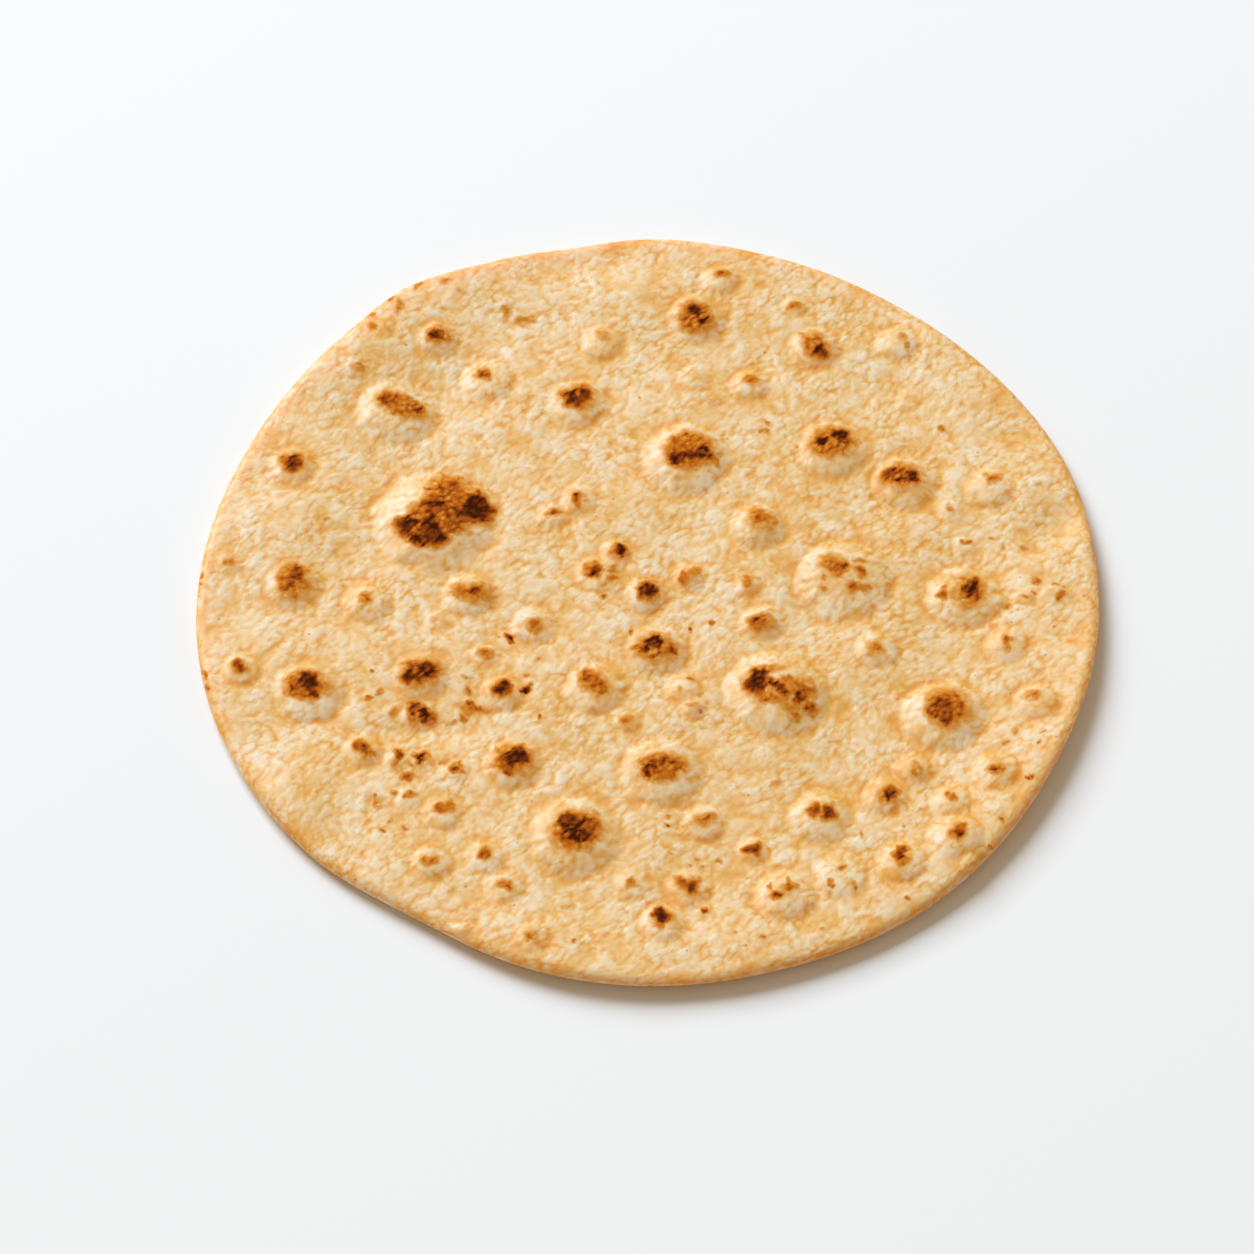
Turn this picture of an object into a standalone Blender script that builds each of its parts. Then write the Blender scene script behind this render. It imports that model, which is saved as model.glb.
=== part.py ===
"""A chapati: one round of unleavened dough, rolled thin, baked on a hot plate and puffed over a flame.

Metres, +Z up. The bread lies on z = 0, with the middle of its round at the origin.
"""

from math import atan2, cos, exp, hypot, pi, radians, sin, tan

import bmesh
import bpy
from mathutils import Vector, noise

for old in list(bpy.data.objects):
    bpy.data.objects.remove(old, do_unlink=True)

MM = 0.001

# ---- Driving sizes, in metres ----
RADIUS = 0.0999          # the rolled round
DOUGH = 0.0036           # thickness of the middle
RIM_DOUGH = 0.0030       # thickness where the rim starts to round over
RIM_ROUND = 0.0022       # how far in from the edge the rim is rounded
REST_RADIUS = 0.064      # the flat middle of the underside, which lies on the table
RIM_RISE = 0.0007        # how far the underside of the rim stands off the table all round

# ---- Small waves left by the rolling pin ----
WAVE_LENGTH = 0.017
WAVE_HEIGHT = 0.0005

# ---- How finely the bread is faceted ----
RINGS = 34               # rings of triangles from the middle of the top to its edge
RIM_RINGS = 3            # of them, those that round the rim over
UNDER_RIM_STEPS = 2      # bands that round the rim in again below
UNDER_STEPS = 3          # bands from there to the flat middle of the underside

# How the rolled edge strays from a true circle: bearing in degrees, mm outwards, spread in degrees.
EDGE_STRAYS = (
    (20, 1.0, 14),
    (55, -0.5, 16),
    (88, 0.5, 7),
    (100, -0.8, 6),
    (123, 2.2, 8),
    (155, -0.8, 15),
    (194, 0.9, 20),
    (239, -2.4, 12),
    (271, 0.8, 14),
    (303, 0.9, 18),
    (334, -0.5, 12),
)

# Where the baked rim curls up off the table: bearing in degrees, lift in mm, spread in degrees.
RIM_LIFTS = (
    (338, 2.3, 26),
    (270, 1.2, 30),
    (5, 0.8, 26),
    (128, 1.1, 30),
)

# Broad swells and hollows: centre x and y, half-length, half-width and height in mm, turn in degrees.
SWELLS = (
    (-79, 24, 17, 11, 0.9, 60),
    (-76, -52, 12, 10, 1.1, 40),
    (-63, 69, 17, 8, 0.9, 45),
    (-46, 60, 16, 7, -0.5, 40),
    (-15, 92, 14, 5, -0.7, 0),
    (3, 84, 18, 9, 0.6, 10),
    (91, 17, 8, 5, -1.1, 40),
    (84, 30, 14, 9, 0.7, 70),
    (86, 4, 12, 9, 0.7, 80),
    (71, 56, 14, 8, 0.6, -40),
    (53, 58, 10, 8, -0.5, 10),
    (56, -75, 20, 8, 0.8, 40),
    (76, -56, 16, 8, 0.7, 55),
    (20, -90, 20, 7, 0.7, 5),
    (-27, -88, 18, 8, 0.8, -20),
    (-52, -37, 15, 3, -0.6, 0),
    (-55, -70, 12, 8, 0.5, -30),
    (9, -29, 8, 6, 0.7, 60),
    (35, -3, 14, 9, -0.4, 60),
    (-24, 40, 16, 9, -0.4, 45),
)

# Blisters puffed up by steam: centre x and y, radius and height, in mm.
# They keep PUFF of that height as the bread cools.
PUFF = 0.86
BLISTERS = (
    (-48, 19, 14.0, 2.6),
    (28, -27, 11.5, 2.3),
    (43.5, 3, 11.0, 2.2),
    (-16, -64, 10.5, 2.1),
    (8.5, 36.5, 10.0, 2.1),
    (-57, 49.5, 9.5, 1.7),
    (64.5, -33, 9.5, 2.1),
    (3, -47.5, 9.0, 1.9),
    (70, -1.5, 8.5, 1.8),
    (-74.5, -27, 8.0, 1.7),
    (42, 39, 8.0, 1.6),
    (58, 30, 7.5, 1.8),
    (2, -15.5, 7.0, 1.5),
    (-16, 52, 7.0, 1.4),
    (11.5, 76, 7.0, 1.4),
    (37, -59, 7.0, 1.6),
    (-11.5, -26, 7.0, 1.4),
    (-50, -22.5, 6.5, 1.3),
    (-29.5, -45.5, 6.5, 1.5),
    (-79, 1.5, 6.5, 1.3),
    (29, -79, 6.5, 1.6),
    (24.5, 17.5, 6.3, 1.8),
    (38.5, 68, 6.0, 1.3),
    (66, -65, 6.0, 1.5),
    (-36.5, 59, 6.0, 1.1),
    (-40, -1, 6.0, 1.2),
    (-62.5, -3, 5.5, 1.2),
    (-80.5, 34, 5.5, 1.2),
    (54, -70.5, 5.5, 1.4),
    (77, 28, 5.5, 1.1),
    (25, -8.5, 5.0, 1.4),
    (50.5, -15.5, 5.0, 1.0),
    (-48.5, 70, 5.0, 1.0),
    (-10.5, 69.5, 5.0, 0.9),
    (-0.5, -1, 5.0, 1.2),
    (-11, 5, 5.0, 0.9),
    (-32, -27, 5.0, 1.2),
    (-25.5, -9, 5.0, 1.0),
    (8.5, -77, 5.0, 1.0),
    (3, -85.5, 5.0, 1.2),
    (51, -54, 5.0, 1.3),
    (75, -48, 5.0, 1.3),
    (85, -30, 5.0, 1.2),
    (79, -14.5, 5.0, 1.0),
    (57.5, 69, 5.0, 1.0),
)


def bell(share):
    """A smooth hump: 1 in the middle, falling away with the square of the share of its spread."""
    return exp(-share * share)


def around(bearing, humps):
    """The sum, in metres, of humps spaced round the bread, each a bearing, a height and a spread."""
    total = 0.0
    for middle, height, spread in humps:
        away = (bearing - radians(middle) + pi) % (2 * pi) - pi
        total += height * MM * bell(away / radians(spread))
    return total


def edge_radius(bearing):
    return RADIUS + around(bearing, EDGE_STRAYS)


def thickness(out):
    return DOUGH + (RIM_DOUGH - DOUGH) * (out / RADIUS) ** 4


def underside(out, bearing):
    """Height of the underside: flat on the table, then rising to the rim."""
    share = max(0.0, (out - REST_RADIUS) / (edge_radius(bearing) - REST_RADIUS))
    return (RIM_RISE + around(bearing, RIM_LIFTS)) * share * share


def swell_height(x, y, swell):
    middle_x, middle_y, half_length, half_width, height, turn = swell
    dx = x / MM - middle_x
    dy = y / MM - middle_y
    along = dx * cos(radians(turn)) + dy * sin(radians(turn))
    across = dy * cos(radians(turn)) - dx * sin(radians(turn))
    return height * MM * bell(hypot(along / half_length, across / half_width))


def blister_height(x, y, blister):
    """A dome with a flattish top and steep sides."""
    middle_x, middle_y, radius, height = blister
    share = hypot(x / MM - middle_x, y / MM - middle_y) / radius
    return PUFF * height * MM * max(0.0, 1.0 - share ** 2.3) ** 1.15


def relief(x, y):
    """Height of the top's waves, swells and blisters over its plain thickness."""
    wave = WAVE_HEIGHT * noise.noise(Vector((x, y, 0.0)) / WAVE_LENGTH)
    swells = sum(swell_height(x, y, swell) for swell in SWELLS)
    return wave + swells + max(blister_height(x, y, blister) for blister in BLISTERS)


def bread_point(out, bearing, turn, side):
    """A point of the surface. turn goes from 0 inside the rim to a right angle on its edge,
    and side is 1 on the top and -1 on the underside."""
    x = out * cos(bearing)
    y = out * sin(bearing)
    half = thickness(out) / 2
    z = underside(out, bearing) + half + side * half * cos(turn)
    if side > 0:
        z += relief(x, y) * cos(turn)
    return Vector((x, y, z))


def on_round(corner_point):
    """Where a point of the six-sided disc goes on the round: its bearing and its share of the way out."""
    sixth = pi / 3
    angle = atan2(corner_point.y, corner_point.x)
    past_corner = (angle - sixth / 2) % sixth
    off_middle = past_corner - sixth / 2
    share = corner_point.length * cos(off_middle) / cos(sixth / 2)
    even = sixth * (0.5 + tan(off_middle) / (2 * tan(sixth / 2)))
    return angle - past_corner + even, share


def top_point(corner_point):
    bearing, share = on_round(corner_point)
    rim_start = 1 - RIM_RINGS / RINGS
    flat_radius = edge_radius(bearing) - RIM_ROUND
    turn = max(0.0, (share - rim_start) / (1 - rim_start)) * pi / 2
    out = flat_radius * min(1.0, share / rim_start) + RIM_ROUND * sin(turn)
    return bread_point(out, bearing, turn, 1)


def edge_loop(mesh):
    return [edge for edge in mesh.edges if edge.is_boundary]


def draw_in(mesh, place):
    """Extrudes the open edge and puts each new point at place(bearing)."""
    made = bmesh.ops.extrude_edge_only(mesh, edges=edge_loop(mesh))
    for item in made["geom"]:
        if isinstance(item, bmesh.types.BMVert):
            item.co = place(atan2(item.co.y, item.co.x))


def build_bread():
    """The top as a disc of even triangles, carried round the rim and in below to the flat middle."""
    mesh = bmesh.new()
    bmesh.ops.create_circle(mesh, cap_ends=True, cap_tris=True, segments=6, radius=1.0)
    bmesh.ops.subdivide_edges(mesh, edges=mesh.edges[:], cuts=RINGS - 1, use_grid_fill=True)
    for vertex in mesh.verts:
        vertex.co = top_point(vertex.co)

    for step in range(1, UNDER_RIM_STEPS + 1):
        turn = pi / 2 * (1 - step / UNDER_RIM_STEPS)

        def under_rim(bearing, turn=turn):
            out = edge_radius(bearing) - RIM_ROUND + RIM_ROUND * sin(turn)
            return bread_point(out, bearing, turn, -1)

        draw_in(mesh, under_rim)

    for step in range(1, UNDER_STEPS + 1):
        share = step / UNDER_STEPS

        def under_bread(bearing, share=share):
            start = edge_radius(bearing) - RIM_ROUND
            out = start + (REST_RADIUS - start) * share
            return bread_point(out, bearing, 0.0, -1)

        draw_in(mesh, under_bread)

    rest = bmesh.ops.contextual_create(mesh, geom=edge_loop(mesh))
    bmesh.ops.poke(mesh, faces=rest["faces"])
    bmesh.ops.triangulate(mesh, faces=mesh.faces[:])
    bmesh.ops.recalc_face_normals(mesh, faces=mesh.faces[:])
    return mesh


def baked_dough():
    material = bpy.data.materials.new("baked_dough")
    material.use_nodes = True
    shader = material.node_tree.nodes["Principled BSDF"]
    shader.inputs["Base Color"].default_value = (0.79, 0.49, 0.22, 1.0)
    shader.inputs["Roughness"].default_value = 0.6
    shader.inputs["Metallic"].default_value = 0.0
    return material


data = bpy.data.meshes.new("chapati")
bread = build_bread()
bread.to_mesh(data)
bread.free()
data.shade_smooth()
data.materials.append(baked_dough())
chapati = bpy.data.objects.new("chapati", data)
bpy.context.collection.objects.link(chapati)
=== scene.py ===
"""A chapati lying on a pale table: one round of unleavened dough, blistered and browned by the flame."""

import random
from math import cos, pi, radians, sin

import bmesh
import bpy
import numpy as np
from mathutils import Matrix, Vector, noise


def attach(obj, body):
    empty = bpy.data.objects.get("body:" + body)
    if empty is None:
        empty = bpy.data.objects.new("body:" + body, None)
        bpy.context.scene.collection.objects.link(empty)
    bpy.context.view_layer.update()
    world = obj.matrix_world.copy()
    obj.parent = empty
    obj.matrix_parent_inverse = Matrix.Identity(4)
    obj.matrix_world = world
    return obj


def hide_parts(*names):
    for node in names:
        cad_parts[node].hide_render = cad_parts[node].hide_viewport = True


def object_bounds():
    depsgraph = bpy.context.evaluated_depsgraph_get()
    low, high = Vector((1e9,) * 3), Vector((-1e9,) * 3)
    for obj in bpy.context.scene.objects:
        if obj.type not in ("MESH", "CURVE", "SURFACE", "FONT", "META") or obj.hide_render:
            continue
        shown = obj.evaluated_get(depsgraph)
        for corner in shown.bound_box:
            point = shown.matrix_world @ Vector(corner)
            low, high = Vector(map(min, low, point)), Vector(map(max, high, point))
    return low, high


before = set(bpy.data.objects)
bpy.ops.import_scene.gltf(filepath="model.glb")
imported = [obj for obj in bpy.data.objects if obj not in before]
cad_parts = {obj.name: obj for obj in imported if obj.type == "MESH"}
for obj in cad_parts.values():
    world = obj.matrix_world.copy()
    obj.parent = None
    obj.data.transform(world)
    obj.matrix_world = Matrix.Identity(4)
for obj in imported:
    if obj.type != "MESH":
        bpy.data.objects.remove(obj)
cad_low, cad_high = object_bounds()


# ---------------------------------------------------------------------------------------------
# The table and the light. A pale matte table top, a soft lamp from the far left, and bright
# walls all round, looked at from above the near side.
# ---------------------------------------------------------------------------------------------

scene = bpy.context.scene
scene.view_settings.view_transform = "Standard"

TABLE_HALF = 2.0
TABLE_TONE = (0.925, 0.925, 0.93, 1.0)

table_mesh = bmesh.new()
bmesh.ops.create_grid(table_mesh, x_segments=1, y_segments=1, size=TABLE_HALF)
table_data = bpy.data.meshes.new("table")
table_mesh.to_mesh(table_data)
table_mesh.free()
table = bpy.data.objects.new("table", table_data)
scene.collection.objects.link(table)

table_paint = bpy.data.materials.new("table_paint")
table_paint.use_nodes = True
table_shader = table_paint.node_tree.nodes["Principled BSDF"]
table_shader.inputs["Base Color"].default_value = TABLE_TONE
table_shader.inputs["Roughness"].default_value = 0.8
table_shader.inputs["Specular IOR Level"].default_value = 0.2
table_data.materials.append(table_paint)

LOOK_AT = Vector((-0.0048, -0.0072, 0.0))
LOOK_DOWN = radians(56.0)
CAMERA_AWAY = 1.0886
SENSOR_WIDTH = 36.0
LENS = 140.7

camera_data = bpy.data.cameras.new("camera")
camera_data.sensor_width = SENSOR_WIDTH
camera_data.lens = LENS
camera = bpy.data.objects.new("camera", camera_data)
camera.location = LOOK_AT + CAMERA_AWAY * Vector((0.0, -cos(LOOK_DOWN), sin(LOOK_DOWN)))
camera.rotation_euler = (pi / 2 - LOOK_DOWN, 0.0, 0.0)
scene.collection.objects.link(camera)
scene.camera = camera

WALL_LIGHT = 0.38
walls = bpy.data.worlds.new("walls")
walls.use_nodes = True
walls.node_tree.nodes["Background"].inputs["Color"].default_value = (1.0, 0.80, 0.56, 1.0)
walls.node_tree.nodes["Background"].inputs["Strength"].default_value = WALL_LIGHT
scene.world = walls

LAMP_WATTS = 296.0
LAMP_SIZE = 3.0
LAMP_AWAY = 5.0
LAMP_BEARING = radians(125)
LAMP_RISE = radians(39)
LAMP_PLACE = LAMP_AWAY * Vector((cos(LAMP_RISE) * cos(LAMP_BEARING), cos(LAMP_RISE) * sin(LAMP_BEARING), sin(LAMP_RISE)))

lamp_data = bpy.data.lights.new("lamp", "AREA")
lamp_data.energy = LAMP_WATTS
lamp_data.size = LAMP_SIZE
lamp_data.color = (0.87, 1.0, 1.14)
lamp = bpy.data.objects.new("lamp", lamp_data)
lamp.location = LAMP_PLACE
lamp.rotation_euler = (-LAMP_PLACE).to_track_quat("-Z", "Y").to_euler()
scene.collection.objects.link(lamp)


# ---------------------------------------------------------------------------------------------
# The bread. One closed skin of baked dough: rolled thin by hand, so its edge strays from round
# and its rim curls up a little. Steam has raised blisters, and their tops have browned.
# Lengths here are in millimetres until the mesh is placed.
# ---------------------------------------------------------------------------------------------

MM = 0.001
EVEN_RADIUS = 0.99665 * (cad_high.x - cad_low.x) / 2 / MM
DOUGH = 3.6
RIM_DOUGH = 3.0
RIM_ROUND = 2.2
REST_RADIUS = 64.0
RIM_RISE = 0.7

# How the rolled edge strays from a true circle: bearing in degrees, outwards, spread in degrees.
EDGE_STRAYS = (
    (20, 1.0, 14),
    (55, -0.5, 16),
    (88, 0.5, 7),
    (100, -0.8, 6),
    (123, 2.2, 8),
    (155, -0.8, 15),
    (194, 0.9, 20),
    (239, -2.4, 12),
    (271, 0.8, 14),
    (303, 0.9, 18),
    (334, -0.5, 12),
)

# Where the baked rim curls up off the table: bearing in degrees, lift, spread in degrees.
RIM_LIFTS = (
    (338, 2.3, 26),
    (270, 1.2, 30),
    (5, 0.8, 26),
    (128, 1.1, 30),
)

# Broad swells and hollows: centre x and y, half-length, half-width, height, turn in degrees.
SWELLS = (
    (-79, 24, 17, 11, 0.9, 60),
    (-76, -52, 12, 10, 1.1, 40),
    (-63, 69, 17, 8, 0.9, 45),
    (-46, 60, 16, 7, -0.5, 40),
    (-15, 92, 14, 5, -0.7, 0),
    (3, 84, 18, 9, 0.6, 10),
    (91, 17, 8, 5, -1.1, 40),
    (84, 30, 14, 9, 0.7, 70),
    (86, 4, 12, 9, 0.7, 80),
    (71, 56, 14, 8, 0.6, -40),
    (53, 58, 10, 8, -0.5, 10),
    (56, -75, 20, 8, 0.8, 40),
    (76, -56, 16, 8, 0.7, 55),
    (20, -90, 20, 7, 0.7, 5),
    (-27, -88, 18, 8, 0.8, -20),
    (-52, -37, 15, 3, -0.6, 0),
    (-55, -70, 12, 8, 0.5, -30),
    (9, -29, 8, 6, 0.7, 60),
    (35, -3, 14, 9, -0.4, 60),
    (-24, 40, 16, 9, -0.4, 45),
)

# Blisters puffed up by steam: centre x and y, radius, height. They keep PUFF of it as the bread cools.
PUFF = 0.86
BLISTERS = (
    (-48, 19, 14.0, 2.6), (28, -27, 11.5, 2.3), (43.5, 3, 11.0, 2.2), (-16, -64, 10.5, 2.1),
    (8.5, 36.5, 10.0, 2.1), (-57, 49.5, 9.5, 1.7), (64.5, -33, 9.5, 2.1), (3, -47.5, 9.0, 1.9),
    (70, -1.5, 8.5, 1.8), (-74.5, -27, 8.0, 1.7), (42, 39, 8.0, 1.6), (58, 30, 7.5, 1.8),
    (2, -15.5, 7.0, 1.5), (-16, 52, 7.0, 1.4), (11.5, 76, 7.0, 1.4), (37, -59, 7.0, 1.6),
    (-11.5, -26, 7.0, 1.4), (-50, -22.5, 6.5, 1.3), (-29.5, -45.5, 6.5, 1.5), (-79, 1.5, 6.5, 1.3),
    (29, -79, 6.5, 1.6), (24.5, 17.5, 6.3, 1.8), (38.5, 68, 6.0, 1.3), (66, -65, 6.0, 1.5),
    (-36.5, 59, 6.0, 1.1), (-40, -1, 6.0, 1.2), (-62.5, -3, 5.5, 1.2), (-80.5, 34, 5.5, 1.2),
    (54, -70.5, 5.5, 1.4), (77, 28, 5.5, 1.1), (25, -8.5, 5.0, 1.4), (50.5, -15.5, 5.0, 1.0),
    (-48.5, 70, 5.0, 1.0), (-10.5, 69.5, 5.0, 0.9), (-0.5, -1, 5.0, 1.2), (-11, 5, 5.0, 0.9),
    (-32, -27, 5.0, 1.2), (-25.5, -9, 5.0, 1.0), (8.5, -77, 5.0, 1.0), (3, -85.5, 5.0, 1.2),
    (51, -54, 5.0, 1.3), (75, -48, 5.0, 1.3), (85, -30, 5.0, 1.2), (79, -14.5, 5.0, 1.0),
    (57.5, 69, 5.0, 1.0), (16.8, 87.5, 4.5, 1.0), (23.3, 57.5, 4.7, 1.0), (11, 59.3, 4.0, 0.5),
    (34, 80, 3.0, 0.6), (-67, 61, 3.0, 0.4), (-15.5, 25, 4.5, 0.9), (-21, 21, 3.8, 0.7),
    (-7.3, 10.5, 3.5, 0.9), (-8, 2, 3.0, 0.6), (9.2, 4, 3.8, 1.1), (22.2, 1.5, 3.2, 0.8),
    (-36, -17, 3.5, 0.6), (-89.8, -21, 4.5, 0.9), (-93.6, 7.5, 3.2, 0.5), (-47, -8, 3.0, 0.4),
    (-50.3, -32.5, 4.0, 0.7), (-62, -42, 4.5, 0.9), (-54.7, -44, 3.0, 0.5), (-49.7, -44.5, 3.0, 0.5),
    (-42, -47.3, 3.0, 0.6), (-44.6, -58, 4.5, 0.9), (-46.5, -71, 4.5, 0.9), (-35, -69, 4.5, 0.9),
    (-31, -77, 4.5, 0.9), (-4.5, -34.5, 3.2, 0.7), (7.5, -26, 4.0, 0.9), (9.7, -31, 2.8, 0.8),
    (11.7, -60.7, 4.8, 1.1), (22.3, -67.5, 3.7, 0.9), (-3.8, -76, 4.0, 0.6), (11.5, -82.3, 2.0, 0.4),
    (57.5, -47, 4.3, 1.2), (65, -55.5, 4.6, 1.2), (41, -74, 6.0, 0.9), (-40, -87.5, 2.2, 0.7),
    (-25, -89.5, 4.0, 0.6), (59.3, 53, 3.0, 0.5), (68, 22, 3.5, 0.4), (71, 12, 3.0, 0.4),
    (-52.3, -54.4, 2.5, 0.4), (90.5, -1, 3.5, 0.4), (83.5, -2, 2.5, 0.3), (-61, 73, 3.0, 0.4),
    (69, -71.5, 2.5, 0.7),
)

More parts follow.
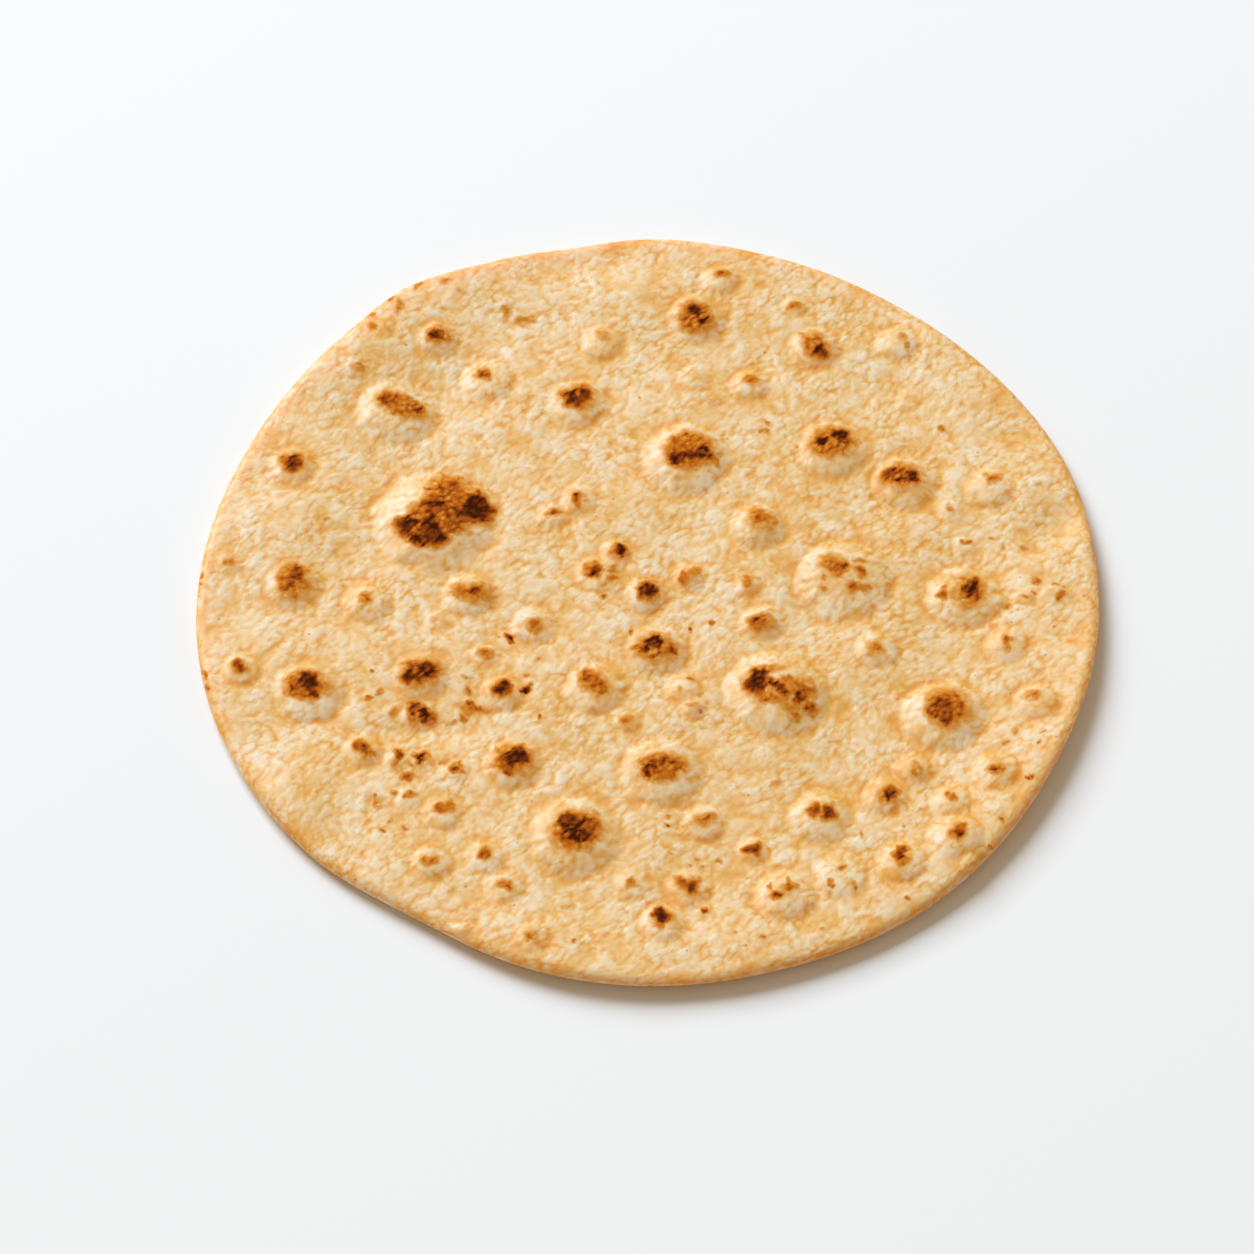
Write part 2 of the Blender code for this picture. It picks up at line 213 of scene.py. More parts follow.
# Browned spots, each one or more patches: centre x and y, half-length, half-width, turn in degrees,
# and how far it browned, from 0 to 1: golden at 0.2, orange at 0.4, brown at 0.65, charred at 1.
SPOTS = (
    # back left
    (-48.5, 70.9, 2.4, 2.4, 0, 0.95), (-63.2, 72.8, 1.1, 1.0, 0, 0.6), (-57.6, 78.8, 1.1, 1.6, 0, 0.38),
    (-53.3, 85.3, 1.0, 0.6, 40, 0.6), (-59.1, 81.2, 1.0, 0.5, 40, 0.65), (-64.1, 76.4, 0.7, 0.5, 40, 0.4),
    (-46.8, 86.5, 1.3, 0.9, 30, 0.3), (-43.2, 83.8, 1.6, 1.4, 0, 0.2), (-66.8, 61.3, 1.0, 0.8, 0, 0.35),
    (-37.5, 59.6, 1.3, 2.0, 0, 0.6), (-59.3, 52.4, 2.5, 2.2, 20, 0.72), (-52.8, 50.4, 1.6, 2.0, 0, 0.68),
    (-57.4, 48.3, 1.6, 1.1, -20, 0.6), (-56.0, 50.5, 4.6, 3.2, -15, 0.42), (-80.5, 34.6, 2.0, 2.5, 0, 0.85),
    (-32.7, 78.1, 2.5, 0.9, 60, 0.3), (-28.1, 76.2, 3.2, 1.0, 20, 0.3), (-6.3, 95.4, 2.0, 0.6, 30, 0.2),
    (-10.6, 70.9, 2.2, 1.8, 0, 0.2),
    (-17.3, 53.2, 2.2, 2.6, 0, 0.9), (-14.2, 53.9, 2.0, 2.0, 0, 0.9), (-16.0, 53.6, 3.6, 3.3, 0, 0.55),
    # back right
    (17.0, 88.9, 1.2, 1.1, 0, 0.65), (18.7, 88.1, 1.0, 0.8, 0, 0.4), (10.6, 77.6, 2.2, 2.0, 0, 0.95),
    (12.2, 74.5, 1.9, 1.8, 0, 0.95), (11.3, 76.0, 3.4, 4.2, 20, 0.6), (14.2, 75.9, 1.3, 2.0, 0, 0.42),
    (34.0, 80.3, 1.3, 1.2, 0, 0.42), (23.5, 58.1, 1.5, 1.4, 0, 0.42), (15.4, 52.6, 1.5, 1.3, 0, 0.16),
    (11.0, 59.3, 1.2, 1.0, 0, 0.16), (27.1, 46.6, 0.8, 0.6, 0, 0.35), (27.1, 44.3, 1.0, 0.7, 0, 0.38),
    (7.2, 36.2, 2.8, 2.0, 10, 0.95), (12.5, 37.7, 1.9, 2.6, 20, 0.92), (9.8, 36.0, 2.4, 1.8, 0, 0.85),
    (8.5, 40.0, 4.2, 3.2, 0, 0.5), (9.3, 38.0, 6.0, 5.2, 0, 0.42), (15.0, 35.0, 0.8, 0.9, 0, 0.5),
    (33.7, 40.2, 0.5, 0.5, 0, 0.5), (39.6, 66.8, 2.0, 2.6, -20, 0.68), (38.0, 69.0, 2.4, 3.2, 0, 0.42),
    (36.2, 72.3, 0.6, 0.6, 0, 0.4), (50.7, 70.1, 1.2, 0.8, 0, 0.15), (58.4, 69.9, 1.7, 1.5, 0, 0.26),
    (59.4, 68.0, 0.5, 0.6, 0, 0.45), (43.9, 42.0, 2.8, 2.6, 0, 1.0), (38.9, 40.6, 2.0, 2.0, 0, 0.9),
    (42.7, 38.2, 2.4, 1.6, 0, 0.62), (41.8, 40.6, 5.2, 4.2, 10, 0.45), (67.3, 44.9, 0.6, 0.5, 0, 0.4),
    # the largest, on the big blister at the left
    (-54.0, 16.5, 2.6, 2.8, 0, 0.92), (-51.5, 12.8, 2.2, 1.9, 0, 0.95), (-55.9, 18.8, 0.7, 0.7, 0, 0.55),
    (-48.8, 16.6, 3.6, 3.0, 10, 0.82), (-48.0, 13.6, 3.2, 2.4, 0, 0.9), (-45.3, 28.0, 3.6, 3.4, 0, 0.55),
    (-44.0, 31.3, 3.2, 0.8, -10, 0.4), (-38.6, 22.0, 3.8, 4.2, 0, 1.0), (-41.5, 20.6, 3.0, 2.2, 0, 0.95),
    (-47.2, 22.2, 3.4, 2.2, 0, 0.86), (-43.2, 15.6, 3.0, 2.0, 10, 0.5), (-49.5, 26.5, 1.0, 0.7, 0, 0.55),
    (-40.3, 29.3, 0.9, 0.7, 0, 0.4), (-48.0, 11.4, 1.8, 1.0, 0, 0.5), (-46.0, 20.0, 9.6, 6.4, 38, 0.56),
    # left
    (-79.3, 1.2, 1.8, 1.9, 0, 0.85), (-78.2, 4.6, 2.2, 2.4, 0, 0.75), (-82.3, 3.2, 1.6, 0.8, 20, 0.42),
    (-77.8, -1.5, 1.0, 1.4, 20, 0.4), (-79.3, 2.6, 3.6, 4.6, 0, 0.42), (-93.8, 7.7, 1.3, 1.4, 0, 0.36),
    (-63.0, -2.0, 1.8, 1.8, 0, 0.48), (-64.0, -4.6, 0.9, 1.3, -20, 0.36), (-38.6, 0.0, 2.4, 2.0, 0, 0.85),
    (-39.4, -0.5, 3.9, 2.4, 0, 0.45), (-42.8, -1.5, 1.2, 0.8, 20, 0.42), (-47.0, -7.3, 1.4, 0.9, 20, 0.2),
    (-36.0, -16.5, 1.3, 1.3, 0, 0.48), (-89.8, -20.4, 1.7, 1.9, 0, 0.8), (-75.0, -24.8, 3.7, 2.6, 0, 0.92),
    (-73.6, -27.6, 2.0, 2.0, 0, 0.92), (-77.8, -27.0, 1.6, 1.6, 0, 0.45), (-74.8, -25.4, 4.4, 3.7, 0, 0.5),
    (-48.7, -21.7, 2.9, 3.1, 0, 0.93), (-52.0, -23.0, 1.9, 1.8, 0, 0.92), (-52.8, -20.2, 1.4, 1.5, 0, 0.6),
    (-50.0, -22.0, 4.1, 3.6, 0, 0.45), (-51.2, -31.0, 1.9, 1.9, 0, 0.85), (-49.2, -33.0, 1.9, 1.6, 0, 0.9),
    (-51.5, -33.8, 0.8, 1.2, 0, 0.42), (-56.0, -31.3, 0.9, 1.4, -30, 0.42), (-58.8, -26.5, 1.1, 1.0, 0, 0.45),
    (-61.7, -28.3, 0.4, 0.4, 0, 0.75), (-61.0, -22.3, 0.4, 0.4, 0, 0.6), (-39.8, -26.6, 0.9, 0.8, 0, 0.45),
    (-39.0, -30.0, 1.0, 0.8, 0, 0.75), (-37.3, -30.5, 0.7, 0.5, 0, 0.6), (-40.6, -33.0, 0.9, 0.9, 0, 0.55),
    (-43.4, -34.0, 0.8, 0.8, 0, 0.36), (-40.2, -22.7, 0.7, 0.5, 0, 0.36), (-38.0, -31.0, 4.0, 1.2, -10, 0.3),
    (-98.3, -21.5, 0.6, 1.2, 10, 0.5), (-97.5, -25.0, 0.5, 0.6, 0, 0.5), (-100.0, 2.0, 0.4, 0.6, 0, 0.4),
    (-100.0, 4.2, 0.4, 0.6, 0, 0.4), (-94.8, -29.3, 1.2, 0.8, 0, 0.2), (-71.8, 19.3, 0.9, 0.7, 0, 0.28),
    # middle
    (-16.1, 25.1, 1.4, 1.7, 0, 0.75), (-21.0, 21.5, 1.5, 1.3, 0, 0.55), (24.6, 18.9, 1.7, 1.5, 20, 0.66),
    (25.0, 18.9, 3.0, 2.5, -20, 0.42), (28.3, 18.0, 0.7, 0.7, 0, 0.38), (-7.0, 10.6, 1.9, 1.7, 0, 0.82),
    (-11.8, 5.6, 1.6, 1.6, 20, 0.85), (-12.6, 4.6, 1.5, 1.2, 30, 0.45), (-7.8, 5.7, 1.1, 1.2, 0, 0.56),
    (-8.0, 2.4, 1.4, 1.0, 20, 0.42), (-10.0, 1.0, 0.9, 0.5, 20, 0.3), (-0.1, -0.2, 2.1, 2.6, 0, 1.0),
    (8.5, 3.6, 1.1, 2.0, 10, 0.52), (10.4, 4.6, 1.3, 1.8, 0, 0.42), (8.4, 2.8, 0.7, 0.8, 0, 0.62),
    (22.2, 2.4, 1.5, 1.4, 0, 0.5), (-25.4, -9.0, 1.7, 1.7, 0, 0.5), (-25.6, -10.5, 1.0, 1.0, 0, 0.4),
    (24.7, -8.5, 2.4, 1.9, 20, 0.55), (-1.4, -15.3, 2.0, 1.9, 0, 0.82), (1.3, -14.4, 2.1, 1.9, 0, 0.95),
    (3.8, -15.6, 2.8, 3.0, 0, 0.38), (5.7, -16.2, 1.1, 1.1, 0, 0.68), (1.7, -15.6, 4.8, 3.3, -5, 0.42),
    (-24.0, -18.4, 1.0, 0.8, 30, 0.25), (-32.0, -26.4, 1.9, 2.1, 0, 0.95), (-12.8, -23.8, 2.3, 2.0, 0, 0.66),
    (-10.5, -26.5, 1.6, 1.5, 0, 0.66), (-12.0, -25.0, 3.2, 2.6, -45, 0.42), (8.9, -23.5, 0.8, 0.7, 0, 0.38),
    (9.7, -30.6, 1.3, 0.7, -20, 0.3), (10.5, -32.2, 0.6, 0.5, 0, 0.34), (6.4, -27.3, 0.6, 0.5, 0, 0.38),
    (-5.3, -34.3, 1.3, 1.5, 0, 0.4),
    # the long one right of the middle
    (23.8, -25.0, 2.6, 3.6, -15, 0.95), (25.0, -23.0, 1.6, 2.0, 0, 0.9), (28.0, -26.0, 2.2, 1.6, -25, 0.9),
    (29.0, -27.8, 2.0, 1.7, -20, 0.8), (30.4, -24.4, 1.2, 1.0, 0, 0.65), (33.2, -28.8, 1.7, 1.7, 0, 0.95),
    (33.0, -27.0, 3.0, 2.8, 0, 0.42), (35.4, -31.6, 1.6, 1.4, 0, 0.56), (32.2, -34.0, 1.6, 1.2, 20, 0.46),
    (35.5, -26.0, 1.2, 1.6, 0, 0.42), (27.0, -21.3, 1.5, 1.3, 0, 0.4), (25.5, -29.0, 3.4, 1.6, -20, 0.42),
    (31.0, -31.0, 2.4, 1.6, -40, 0.34), (26.5, -30.6, 0.6, 0.7, 0, 0.6),
    # right
    (55.3, 32.0, 2.0, 1.9, 0, 0.88), (59.6, 31.0, 2.2, 2.3, 0, 0.88), (57.8, 30.2, 2.4, 2.0, 0, 0.66),
    (57.2, 34.2, 0.8, 0.8, 0, 0.42), (57.6, 30.9, 4.5, 3.5, 0, 0.42), (57.0, 27.8, 1.4, 1.4, 0, 0.3),
    (77.9, 29.8, 1.6, 1.4, 0, 0.55), (76.0, 31.5, 0.9, 0.7, 0, 0.3), (67.7, 22.2, 0.9, 1.6, 15, 0.3),
    (42.4, 6.0, 2.5, 2.2, 0, 0.58), (47.0, 4.0, 1.2, 1.1, 0, 0.55), (45.6, 0.3, 1.5, 1.1, 0, 0.5),
    (48.0, 0.1, 1.2, 0.8, 0, 0.42), (39.6, 0.8, 1.6, 0.8, 0, 0.32), (38.5, 3.1, 0.7, 0.7, 0, 0.36),
    (41.0, 7.2, 3.2, 2.0, 0, 0.36), (47.2, 7.4, 1.6, 1.2, 0, 0.3), (43.8, 3.4, 6.2, 5.6, 0, 0.1),
    (71.2, -0.4, 2.2, 2.2, 0, 1.0), (71.5, 1.9, 1.7, 1.8, 0, 1.0), (71.4, -0.4, 2.9, 3.9, 0, 0.5),
    (66.0, -1.0, 1.4, 1.3, 0, 0.66), (65.8, 0.8, 0.6, 0.8, 0, 0.4), (71.5, -4.0, 0.7, 1.6, 10, 0.35),
    (84.0, 11.5, 1.2, 0.8, -30, 0.32), (78.9, -13.5, 1.4, 1.2, 20, 0.68), (78.4, -15.4, 1.2, 1.0, 0, 0.36),
    (50.2, -15.7, 1.6, 1.6, 0, 0.46), (84.2, -28.9, 1.8, 1.5, 0, 0.42), (84.8, -29.4, 0.8, 0.8, 0, 0.6),
    (64.4, -32.6, 3.4, 3.6, 20, 0.7), (65.2, -31.9, 4.4, 5.0, 10, 0.52), (66.5, -29.2, 1.8, 1.4, 0, 0.72),
    (69.7, 13.2, 0.4, 0.4, 0, 0.5), (71.1, 13.2, 0.4, 0.4, 0, 0.55), (86.6, 2.0, 1.1, 0.9, -20, 0.55),
    (91.2, -2.0, 1.0, 0.9, 0, 0.48), (90.4, 0.5, 0.6, 0.4, 0, 0.42), (92.0, 0.6, 0.4, 0.3, 0, 0.4),
    (85.0, -1.0, 0.4, 0.6, 0, 0.42), (82.8, -2.3, 0.9, 0.7, 0, 0.38), (79.8, -3.8, 0.5, 0.7, 0, 0.4),
    (94.3, 7.8, 0.5, 0.4, 0, 0.35), (97.1, -2.1, 0.3, 0.3, 0, 0.5), (79.0, 12.0, 0.4, 0.7, 0, 0.35),
    (77.5, 14.0, 0.9, 0.4, 30, 0.3), (90.0, -10.2, 0.4, 0.6, 0, 0.3), (93.0, -31.5, 0.4, 0.5, 0, 0.45),
    # front left
    (-62.6, -41.2, 1.8, 1.8, 0, 0.82), (-61.0, -43.0, 1.7, 1.2, -40, 0.45), (-54.7, -43.2, 1.1, 1.4, 0, 0.88),
    (-55.0, -45.0, 1.2, 0.9, 0, 0.36), (-49.8, -43.9, 1.3, 1.3, 0, 0.9), (-52.0, -45.5, 0.4, 0.4, 0, 0.5),
    (-52.2, -48.8, 0.8, 0.7, 0, 0.6), (-42.0, -46.8, 1.3, 1.2, 0, 0.72), (-45.0, -45.3, 0.8, 0.8, 0, 0.3),
    (-41.0, -45.2, 0.4, 0.4, 0, 0.5), (-41.0, -40.3, 0.4, 0.4, 0, 0.5), (-45.0, -57.0, 1.7, 1.5, 0, 0.68),
    (-43.5, -56.0, 1.2, 1.0, 0, 0.45), (-56.0, -52.7, 1.0, 0.6, -20, 0.45), (-52.3, -53.9, 1.3, 0.8, 10, 0.6),
    (-58.8, -55.2, 1.0, 1.0, 0, 0.42), (-59.6, -53.5, 0.4, 0.4, 0, 0.42), (-55.7, -60.0, 0.6, 0.5, 0, 0.42),
    (-58.0, -62.3, 0.5, 0.4, 0, 0.4), (-52.6, -61.7, 0.3, 0.3, 0, 0.5), (-61.5, -68.6, 0.3, 0.4, 0, 0.42),
    (-47.4, -70.3, 1.5, 1.2, 20, 0.48), (-35.2, -68.2, 1.5, 1.5, 0, 0.66), (-31.0, -76.3, 1.4, 1.4, 0, 0.64),
    (-29.1, -44.2, 2.9, 3.3, 0, 1.0), (-29.4, -44.6, 3.7, 3.8, 0, 0.5), (-32.6, -42.6, 1.0, 1.2, 0, 0.45),
    (-30.6, -47.6, 0.9, 1.1, 0, 0.85), (-17.2, -62.0, 3.0, 3.2, 0, 0.9), (-15.2, -64.6, 2.8, 2.4, 0, 0.96),
    (-12.6, -63.6, 2.2, 1.8, 0, 0.7), (-15.6, -63.2, 5.4, 4.8, 0, 0.55), (-11.5, -61.8, 1.4, 1.5, 0, 0.5),
    (-18.6, -59.8, 1.2, 1.0, 0, 0.6), (-14.8, -59.2, 1.1, 0.9, 0, 0.5), (-25.0, -89.2, 1.5, 1.2, 0, 0.36),
    (-24.8, -89.0, 0.5, 0.5, 0, 0.5), (-23.5, -91.0, 0.7, 1.4, -10, 0.25), (-15.6, -90.7, 0.5, 0.4, 0, 0.5),
    (-17.5, -81.5, 1.2, 0.8, 0, 0.2), (-3.8, -75.8, 1.0, 0.9, 0, 0.42), (-3.5, -74.4, 0.5, 0.6, 0, 0.3),
    # front
    (-0.4, -48.5, 1.7, 1.9, -20, 0.95), (1.8, -46.8, 2.6, 1.6, 45, 0.9), (3.9, -45.0, 1.6, 1.3, 20, 0.85),
    (5.4, -46.0, 1.0, 0.9, 0, 0.75), (2.6, -46.6, 5.0, 3.9, 15, 0.45), (6.4, -47.6, 1.4, 1.3, 0, 0.5),
    (11.5, -60.0, 1.3, 1.0, 0, 0.62), (11.6, -60.1, 2.1, 1.5, 0, 0.42), (22.2, -67.0, 1.6, 1.6, 0, 0.78),
    (35.4, -58.0, 1.5, 1.7, 0, 0.82), (38.8, -58.1, 1.6, 2.0, 0, 0.86), (9.0, -76.9, 1.3, 2.2, 0, 0.86),
    (7.0, -75.6, 1.3, 1.5, 0, 0.52), (11.4, -82.0, 1.0, 0.9, 0, 0.85), (2.6, -84.4, 2.0, 1.9, 0, 1.0),
    (2.4, -86.4, 1.3, 1.0, 0, 0.5), (27.2, -79.8, 1.7, 1.1, 0, 0.8), (30.2, -77.8, 1.4, 0.9, 0, 0.62),
    (29.6, -76.2, 0.6, 1.2, 10, 0.45), (26.0, -77.3, 0.6, 1.0, -30, 0.42), (31.3, -77.0, 0.8, 0.6, 0, 0.4),
    (4.3, -59.0, 0.5, 0.4, 0, 0.5), (4.3, -60.8, 0.3, 0.3, 0, 0.5), (5.0, -68.0, 0.7, 0.4, 0, 0.35),
    (9.8, -69.2, 0.5, 0.4, 0, 0.42), (15.0, -69.3, 0.4, 0.4, 0, 0.42), (11.3, -71.4, 0.3, 0.4, 0, 0.4),
    (1.8, -71.3, 0.7, 0.6, 0, 0.28), (8.5, -70.4, 0.8, 0.4, 30, 0.3), (13.0, -85.1, 0.3, 0.3, 0, 0.5),
    (18.0, -88.2, 0.5, 0.5, 0, 0.4), (24.0, -89.6, 0.4, 0.4, 0, 0.55), (27.6, -50.3, 1.6, 0.6, 60, 0.25),
    # front right
    (58.0, -46.7, 1.5, 1.5, 0, 0.3), (57.3, -48.0, 0.5, 0.7, 0, 0.45), (51.4, -53.7, 1.9, 2.1, 0, 0.88),
    (75.3, -47.5, 1.8, 1.7, 0, 0.6), (65.3, -54.9, 0.9, 0.8, 0, 0.55), (66.3, -64.4, 2.1, 2.2, 0, 0.7),
    (54.0, -69.4, 1.4, 2.0, 0, 0.92), (53.6, -71.6, 1.0, 0.9, 0, 0.42), (41.5, -72.4, 1.7, 0.7, 45, 0.48),
    (38.5, -76.4, 0.4, 0.4, 0, 0.62), (43.9, -77.6, 0.6, 0.7, 0, 0.45), (43.6, -75.8, 0.5, 0.4, 0, 0.35),
    (83.0, -49.4, 0.6, 0.4, 50, 0.7), (85.0, -41.0, 0.4, 0.4, 0, 0.5), (75.3, -61.0, 0.8, 0.3, -50, 0.5),
    (73.6, -67.4, 0.3, 0.3, 0, 0.6), (54.3, -61.3, 0.3, 0.5, 0, 0.4), (78.0, -41.0, 0.5, 0.5, 0, 0.35),
    (80.0, -38.5, 0.6, 1.3, -20, 0.28), (85.5, -37.5, 0.5, 0.8, 0, 0.25), (46.5, -63.0, 0.4, 1.0, -20, 0.3),
    (55.2, -80.5, 0.3, 0.3, 0, 0.5), (37.0, -88.0, 3.0, 0.4, 0, 0.2),
    # flecks of bran
    (-30.5, -12.0, 0.5, 0.8, -20, 1.0), (-26.4, -25.4, 0.5, 0.9, -25, 1.0), (-27.4, -26.3, 0.5, 0.5, 0, 1.0),
    (-27.0, -22.2, 1.0, 0.7, 0, 0.35), (-23.7, -32.8, 0.6, 0.45, -40, 1.0), (-3.3, -11.3, 0.4, 0.8, -20, 0.7),
    (8.8, -10.5, 0.4, 0.4, 0, 0.8), (13.7, -8.3, 0.4, 0.5, 0, 0.6), (-10.0, -1.7, 0.4, 0.4, 0, 0.8),
)

# The skin starts as two six-sided discs of even triangles, one over the other, sewn together at
# their edge. The top has twice as many rings, for its crumpled skin.
UNDER_RINGS = 80
RIM_SHARE = 0.955

skin = bmesh.new()
bmesh.ops.create_circle(skin, cap_ends=True, cap_tris=True, segments=6, radius=1.0)
bmesh.ops.subdivide_edges(skin, edges=skin.edges[:], cuts=UNDER_RINGS - 1, use_grid_fill=True)
for vertex in skin.verts:
    vertex.co.z = 0.0 if vertex.is_boundary else 1.0
top_faces = skin.faces[:]
under = bmesh.ops.duplicate(skin, geom=skin.verts[:] + skin.edges[:] + skin.faces[:])["geom"]
under_faces = [item for item in under if isinstance(item, bmesh.types.BMFace)]
for item in under:
    if isinstance(item, bmesh.types.BMVert):
        item.co.z = -item.co.z
bmesh.ops.reverse_faces(skin, faces=under_faces)
bmesh.ops.remove_doubles(skin, verts=[v for v in skin.verts if v.is_boundary], dist=1e-6)
top_edges = list({edge for face in top_faces for edge in face.edges})
bmesh.ops.subdivide_edges(skin, edges=top_edges, cuts=1, use_grid_fill=True)
bmesh.ops.triangulate(skin, faces=skin.faces[:])
bread_data = bpy.data.meshes.new("bread")
skin.to_mesh(bread_data)
skin.free()

places = np.empty(len(bread_data.vertices) * 3)
bread_data.vertices.foreach_get("co", places)
hex_x, hex_y, side = places.reshape(-1, 3).T

# The six-sided disc is rounded: each ring of it goes to a circle, with its points evenly spaced.
SIXTH = pi / 3
angle = np.arctan2(hex_y, hex_x)
past_corner = (angle - SIXTH / 2) % SIXTH
off_middle = past_corner - SIXTH / 2
share = np.hypot(hex_x, hex_y) * np.cos(off_middle) / cos(SIXTH / 2)
bearing = angle - past_corner + SIXTH * (0.5 + np.tan(off_middle) / (2 * np.tan(SIXTH / 2)))


def bell(distance):
    """A smooth hump, 1 in the middle and falling away over one unit of distance."""
    return np.exp(-distance * distance)


def around(humps):
    """The sum of humps spaced round the bread, each a bearing, a height and a spread."""
    total = np.zeros_like(bearing)
    for middle, height, spread in humps:
        away = (bearing - radians(middle) + pi) % (2 * pi) - pi
        total += height * bell(away / radians(spread))
    return total


def smooth_step(low, high, value):
    """0 below low, 1 above high, and an even S between them."""
    step = np.clip((value - low) / (high - low), 0.0, 1.0)
    return step * step * (3 - 2 * step)


def ripple(along, across, wavelength, layer=0.0):
    """Smooth random waves of about this length, from -1 to 1."""
    pairs = zip((along / wavelength).tolist(), (across / wavelength).tolist())
    return np.array([noise.noise((a, b, layer)) for a, b in pairs])


edge = EVEN_RADIUS + around(EDGE_STRAYS)
turn = np.clip((share - RIM_SHARE) / (1 - RIM_SHARE), 0.0, 1.0) * pi / 2
out = (edge - RIM_ROUND) * np.minimum(1.0, share / RIM_SHARE) + RIM_ROUND * np.sin(turn)
x = out * np.cos(bearing)
y = out * np.sin(bearing)
on_top = side > -0.5

# Blisters: domes with flattish tops and steep sides, whose feet wander a little and sit in a
# shallow crease. Their thin skin is pleated towards the foot. Where two meet, the higher one wins.
foot_wander = 1 + 0.10 * ripple(x, y, 7.0, 3.1) + 0.06 * ripple(x, y, 2.4, 4.7)
blister_rise = np.zeros_like(x)
blister_skin = np.zeros_like(x)
blister_foot = np.zeros_like(x)
pleats = np.zeros_like(x)
for middle_x, middle_y, radius, height in BLISTERS:
    reach = np.hypot(x - middle_x, y - middle_y) / radius * foot_wander
    dome = PUFF * height * np.clip(1 - reach ** 2.3, 0, None) ** 1.15
    higher = dome > blister_rise
    blister_rise = np.where(higher, dome, blister_rise)
    blister_skin = np.maximum(blister_skin, (1 - smooth_step(0.75, 1.08, reach)) * min(1.0, height))
    blister_foot = np.maximum(blister_foot, bell((reach - 1.06) * radius / 1.1) * min(1.0, height))
    near = np.flatnonzero(higher)
    way = np.arctan2(y[near] - middle_y, x[near] - middle_x)
    folds = np.abs(ripple(np.cos(way) * radius, np.sin(way) * radius, 3.4, middle_x)) - 0.2
    pleats[near] = folds * smooth_step(0.35, 0.75, reach[near]) * (1 - smooth_step(0.85, 1.0, reach[near]))

swell_rise = 0.5 * ripple(x, y, 17.0, 9.3)
for middle_x, middle_y, half_length, half_width, height, slant in SWELLS:
    slant = radians(slant)
    along = (x - middle_x) * cos(slant) + (y - middle_y) * sin(slant)
    across = (y - middle_y) * cos(slant) - (x - middle_x) * sin(slant)
    swell_rise += height * bell(np.hypot(along / half_length, across / half_width))

# The crumpled skin: rounded lumps of two sizes with creases between them, drawn out from the
# front left to the back right, as the dough was rolled. They are laid out on the skin as if it
# were flat, so that they go round the rim too.
GRAIN = radians(45)
CREASES = 0.13
along_skin = share * edge
skin_x = along_skin * np.cos(bearing)
skin_y = along_skin * np.sin(bearing)
drift_x = skin_x + 4.0 * ripple(skin_x, skin_y, 9.0, 1.3) + 2.0 * ripple(skin_x, skin_y, 3.4, 4.1)
drift_y = skin_y + 4.0 * ripple(skin_x, skin_y, 9.0, 6.9) + 2.0 * ripple(skin_x, skin_y, 3.4, 9.8)
with_grain = (drift_x * cos(GRAIN) + drift_y * sin(GRAIN)) / 1.5
cross_grain = drift_y * cos(GRAIN) - drift_x * sin(GRAIN)


def lumps(width, layer):
    """Rounded lumps of about this width side by side: 0 in the creases and 1 on their tops."""
    pairs = zip((with_grain / width).tolist(), (cross_grain / width).tolist())
    nearest = np.array([noise.voronoi((a, b, layer))[0][:2] for a, b in pairs])
    return 1 - (1 - np.clip((nearest[:, 1] - nearest[:, 0]) / 0.6, 0.0, 1.0)) ** 2


crumple = 0.17 * (lumps(3.0, 2.2) - 0.6) + 0.14 * (lumps(1.7, 5.5) - 0.6) + 0.15 * ripple(x, y, 5.5, 2.2)
rim_band = smooth_step(3.6, 1.6, edge - out)
crumple_rise = 0.8 * crumple * (1 - 0.7 * blister_skin) * (1 - 0.75 * rim_band) + 0.5 * pleats - 0.12 * blister_foot

# Browning: how far each point of the skin has browned. Each patch fades over a millimetre or two,
# and its outline wanders.
stray_x = x + 1.3 * ripple(x, y, 3.2, 7.7) + 0.8 * ripple(x, y, 1.5, 0.6)
stray_y = y + 1.3 * ripple(x, y, 3.2, 3.3) + 0.8 * ripple(x, y, 1.5, 5.2)
browning = np.zeros_like(x)
for middle_x, middle_y, half_length, half_width, slant, heat in SPOTS:
    slant = radians(slant)
    along = (stray_x - middle_x) * cos(slant) + (stray_y - middle_y) * sin(slant)
    across = (stray_y - middle_y) * cos(slant) - (stray_x - middle_x) * sin(slant)
    reach = np.hypot(along / half_length, across / half_width)
    size = (half_length + half_width) / 2
    past_edge = (reach - 1) * size
    shade = 1 - smooth_step(-min(1.4, 0.85 * size), min(1.0, 0.3 + 0.45 * size), past_edge)
    glow = 0.25 * min(1.0, 2 * heat) * (1 - smooth_step(-0.5, min(2.6, 0.6 + 0.7 * size), past_edge))
    browning = np.maximum(browning, np.maximum(heat * shade, glow))

# The underside baked first, against the hot plate: an even scatter of small browned freckles.
UNDER_SPOTS = 150
chance = random.Random(11)
under_browning = 0.12 * smooth_step(-0.1, 0.3, ripple(x, y, 22.0, 4.4))
for _ in range(UNDER_SPOTS):
    spot_out = 95.0 * chance.random() ** 0.5
    spot_way = chance.uniform(0.0, 2 * pi)
    spot_size = chance.uniform(0.6, 1.4) * chance.uniform(1.0, 3.2)
    spot_heat = min(0.95, chance.uniform(0.25, 0.55) + 0.12 * spot_size)
    reach = np.hypot(stray_x - spot_out * cos(spot_way), stray_y - spot_out * sin(spot_way))
    shade = 1 - smooth_step(-0.8 * spot_size, 0.8 + 0.6 * spot_size, reach - spot_size)
    under_browning = np.maximum(under_browning, spot_heat * shade)

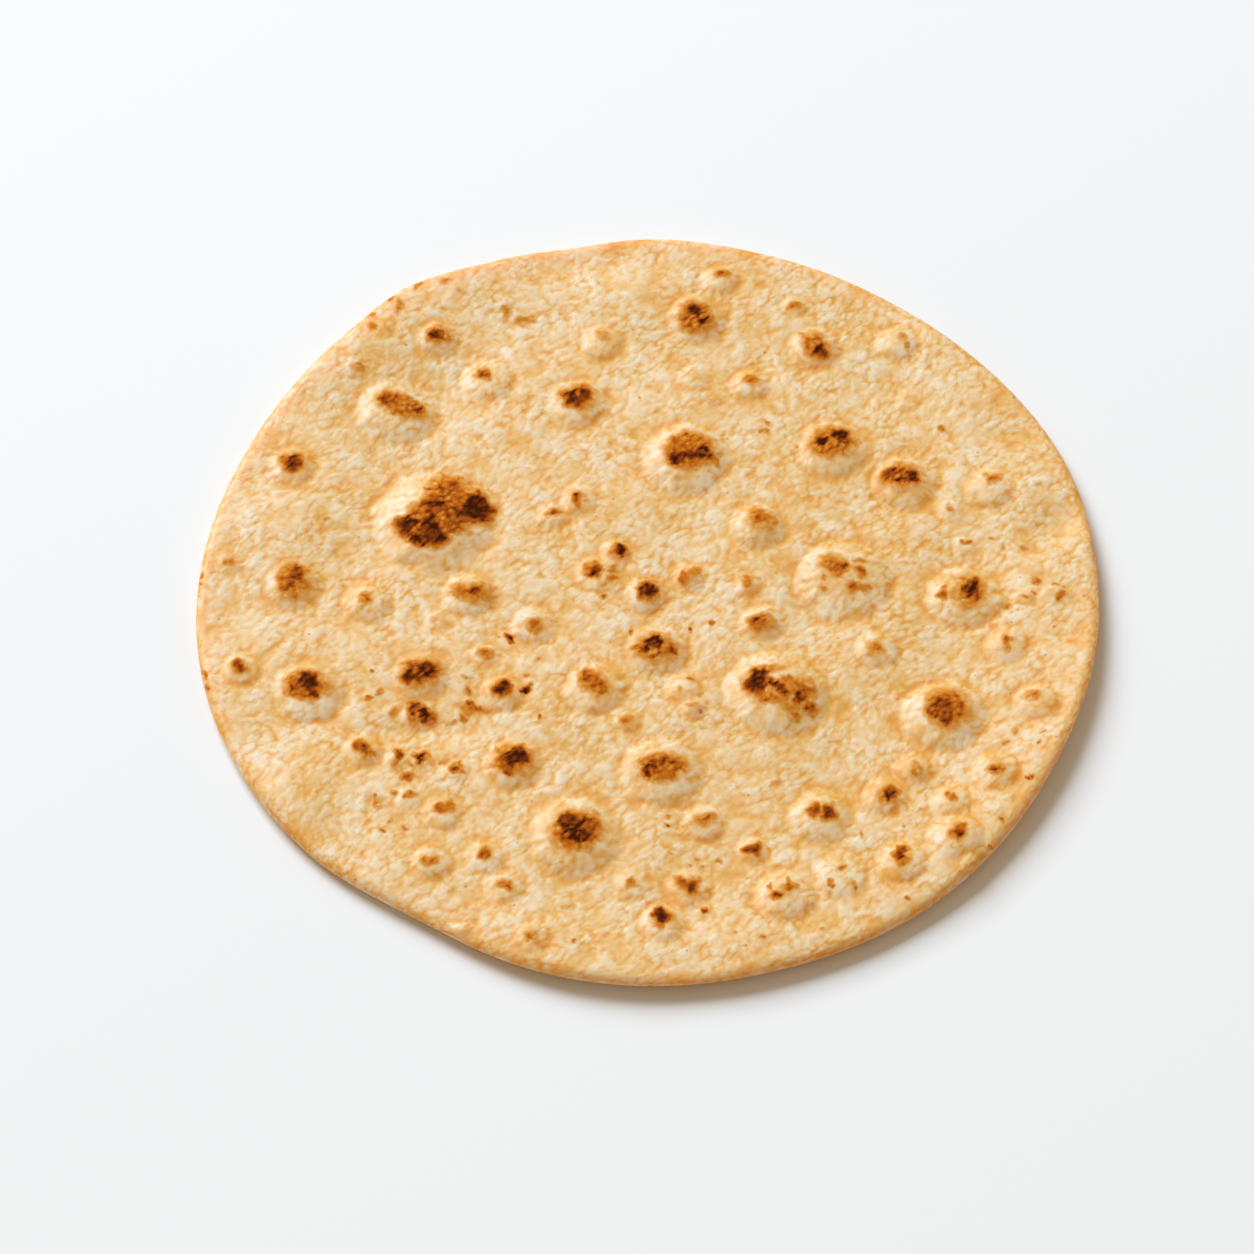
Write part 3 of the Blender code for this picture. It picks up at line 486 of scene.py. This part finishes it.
half = (DOUGH + (RIM_DOUGH - DOUGH) * (out / EVEN_RADIUS) ** 4) / 2
lift_share = np.clip((out - REST_RADIUS) / (edge - REST_RADIUS), 0.0, None)
foot = (RIM_RISE + around(RIM_LIFTS)) * lift_share ** 2
relief = blister_rise + swell_rise + crumple_rise - CREASES
z = foot + half + np.where(on_top, half + relief, -half) * np.cos(turn)
z = np.where(on_top, z, z + 0.5 * np.clip(crumple + 0.2, 0, None) * np.cos(turn))
browning = np.where(on_top, browning, under_browning * (1 - 0.8 * rim_band))
blister_skin = np.where(on_top, blister_skin, 0.0)
# Painted shade: the skin is darkened golden round the foot of each blister and along the rounded rim on top, and
# along the rim underneath.
painted_foot_and_rim_shade = np.where(on_top, np.maximum(blister_foot, 0.4 * rim_band), 0.4 * rim_band)

bread_data.vertices.foreach_set("co", (np.stack([x, y, z], axis=1) * MM).ravel())
for name, values in (("browning", browning), ("blister", blister_skin), ("crumple", crumple), ("foot", painted_foot_and_rim_shade)):
    bread_data.attributes.new(name, "FLOAT", "POINT").data.foreach_set("value", values)
flat_skin = np.stack([skin_x, skin_y, np.zeros_like(x)], axis=1) * MM
bread_data.attributes.new("flat_skin", "FLOAT_VECTOR", "POINT").data.foreach_set("vector", flat_skin.ravel())
bread_data.update()
bread_data.shade_smooth()
bread = bpy.data.objects.new("bread", bread_data)
scene.collection.objects.link(bread)


class Wire:
    """One value, colour or vector inside a material. Arithmetic on values adds Math nodes."""

    def __init__(self, socket):
        self.socket = socket

    def node(self, kind, settings, inputs, output=0):
        """Adds a node with these settings and these socket values or links, and gives one of its outputs."""
        tree = self.socket.id_data
        node = tree.nodes.new(kind)
        for name, setting in settings.items():
            if name == "stops":
                ramp = node.color_ramp
                while len(ramp.elements) < len(setting):
                    ramp.elements.new(1.0)
                for element, (position, colour) in zip(ramp.elements, setting):
                    element.position = position
                    element.color = colour
            else:
                setattr(node, name, setting)
        for key, value in inputs.items():
            if isinstance(value, Wire):
                tree.links.new(value.socket, node.inputs[key])
            else:
                node.inputs[key].default_value = value
        return Wire(node.outputs[output])

    def math(self, operation, *others):
        return self.node("ShaderNodeMath", {"operation": operation}, dict(enumerate((self,) + others)))

    def __add__(self, other):
        return self.math("ADD", other)

    __radd__ = __add__

    def __mul__(self, other):
        return self.math("MULTIPLY", other)

    __rmul__ = __mul__

    def __sub__(self, other):
        return self.math("SUBTRACT", other)

    def __rsub__(self, other):
        return self.node("ShaderNodeMath", {"operation": "SUBTRACT"}, {0: other, 1: self})

    def __truediv__(self, other):
        return self.math("DIVIDE", other)

    def __pow__(self, other):
        return self.math("POWER", other)

    def between(self, low, high):
        """0 where this value is under low, 1 where it is over high, and an S between."""
        settings = {"interpolation_type": "SMOOTHSTEP"}
        return self.node("ShaderNodeMapRange", settings, {"Value": self, "From Min": low, "From Max": high})

    def blend(self, first, second):
        """The first colour where this value is 0 and the second where it is 1."""
        settings = {"data_type": "RGBA", "clamp_factor": True}
        return self.node("ShaderNodeMix", settings, {0: self, 6: first, 7: second}, output=2)

    def noise(self, wavelength, detail=2.0, roughness=0.5, distortion=0.0):
        """Noise from about 0 to 1 with patches of this size in millimetres, over this vector."""
        inputs = {"Vector": self, "Scale": 1 / (wavelength * MM), "Detail": detail,
                  "Roughness": roughness, "Distortion": distortion}
        return self.node("ShaderNodeTexNoise", {}, inputs)


def paint(red, green, blue):
    """A colour named from 0 to 255 as it looks, in the light values that a shader takes."""
    lit = [((c / 255 + 0.055) / 1.055) ** 2.4 for c in (red, green, blue)]
    return (*lit, 1.0)


# The dough's colours, from golden to cream. The golden end also paints shade in the creases, at the blister feet and
# along the rim, and the cream end paints light on the tops of the lumps.
SKIN_STOPS = (
    (0.00, paint(227, 157, 54)),
    (0.28, paint(232, 179, 95)),
    (0.52, paint(235, 196, 137)),
    (0.76, paint(237, 210, 167)),
    (1.00, paint(239, 219, 188)),
)
SPECK = paint(140, 80, 40)
BROWNING_STOPS = (
    (0.00, paint(236, 190, 120)),
    (0.10, paint(225, 168, 92)),
    (0.20, paint(217, 149, 64)),
    (0.31, paint(209, 130, 42)),
    (0.42, paint(198, 110, 28)),
    (0.54, paint(178, 90, 22)),
    (0.68, paint(148, 70, 20)),
    (0.84, paint(109, 48, 16)),
    (1.00, paint(66, 27, 9)),
)

crust = bpy.data.materials.new("crust")
crust.use_nodes = True
tree = crust.node_tree
shader = tree.nodes["Principled BSDF"]
point = Wire(tree.nodes.new("ShaderNodeTexCoord").outputs["Object"])


def attribute(name):
    return point.node("ShaderNodeAttribute", {"attribute_name": name}, {}, output=2)


browned = attribute("browning")
blistered = attribute("blister")
height_of_skin = attribute("crumple")

# Fine wrinkles that the mesh is too coarse for, drawn out along the grain and wandering.
flat = point.node("ShaderNodeAttribute", {"attribute_name": "flat_skin"}, {}, output=1)
turned = point.node("ShaderNodeMapping", {}, {"Vector": flat, "Rotation": (0, 0, -GRAIN)})
stretched = point.node("ShaderNodeVectorMath", {"operation": "MULTIPLY"}, {0: turned, 1: (0.6, 1.0, 1.0)})
wander = point.node("ShaderNodeTexNoise", {}, {"Vector": stretched, "Scale": 1 / (2.4 * MM), "Detail": 1.0}, output=1)
drift = point.node("ShaderNodeVectorMath", {"operation": "MULTIPLY_ADD"},
                   {0: wander, 1: (0.0018, 0.0018, 0.0018), 2: stretched})
cells = drift.node("ShaderNodeTexVoronoi", {"voronoi_dimensions": "2D"}, {"Vector": drift, "Scale": 1 / (1.25 * MM)})
wrinkles = 0.85 - cells ** 2 * 1.3 + (drift.noise(1.1, detail=4.0, roughness=0.62) - 0.5) * 1.7
patches = point.noise(12.0, detail=3.0)
fine_height = (wrinkles - 0.5) * (0.5 + 0.8 * point.noise(6.0, detail=0.0).between(0.3, 0.7))


# The foot attribute paints shade: it darkens the dough golden round each blister's foot and along the rim.
foot = attribute("foot")
# The dough's tone follows the relief. The creases of the crumpled skin go golden and the tops of its lumps go paler:
# painted shade in the creases and painted light on the tops. The patches vary at random, and the blister skins are a
# touch paler.
tone = 0.51 + height_of_skin * 2.0 + fine_height * 0.5 + (patches - 0.5) * 0.42 + blistered * 0.02 - foot * 0.24
dough = tone.node("ShaderNodeValToRGB", {"stops": SKIN_STOPS}, {"Fac": tone})

spots = point.node("ShaderNodeTexVoronoi", {}, {"Vector": point, "Scale": 1 / (3.5 * MM)})
specks = (1 - spots.between(0.05, 0.11)) * point.noise(9.0).between(0.5, 0.62) * (1 - blistered)
dough = (specks * 0.6).blend(dough, SPECK)

char_zone = browned.between(0.15, 0.6)
mottle = (point.noise(1.2, detail=2.0) - 0.5) * browned.between(0.02, 0.3) * 0.65
# In the charred patches the crevices of the fine wrinkles are painted darker and their ridges lighter: painted shade
# in the crevices and painted highlight on the ridges.
heat = browned - fine_height * char_zone * 0.5 + mottle
charred = heat.node("ShaderNodeValToRGB", {"stops": BROWNING_STOPS}, {"Fac": heat})
colour = heat.between(0.0, 0.18).blend(dough, charred)

sheen = 1 - browned.between(0.0, 0.3)
bumps = fine_height * (1 - 0.5 * blistered + 0.6 * char_zone)
relief_normal = point.node("ShaderNodeBump", {}, {"Height": bumps, "Distance": 0.00011, "Strength": 1.0})

tree.links.new(colour.socket, shader.inputs["Base Color"])
tree.links.new(sheen.socket, shader.inputs["Coat Weight"])
tree.links.new(relief_normal.socket, shader.inputs["Normal"])
shader.inputs["Roughness"].default_value = 0.7
shader.inputs["Specular IOR Level"].default_value = 0.0
shader.inputs["Coat Roughness"].default_value = 0.5
shader.subsurface_method = "BURLEY"
shader.inputs["Subsurface Weight"].default_value = 1.0
shader.inputs["Subsurface Radius"].default_value = (1.0, 0.18, 0.045)
shader.inputs["Subsurface Scale"].default_value = 0.0048
bread_data.materials.append(crust)

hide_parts("chapati")
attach(bread, "root")
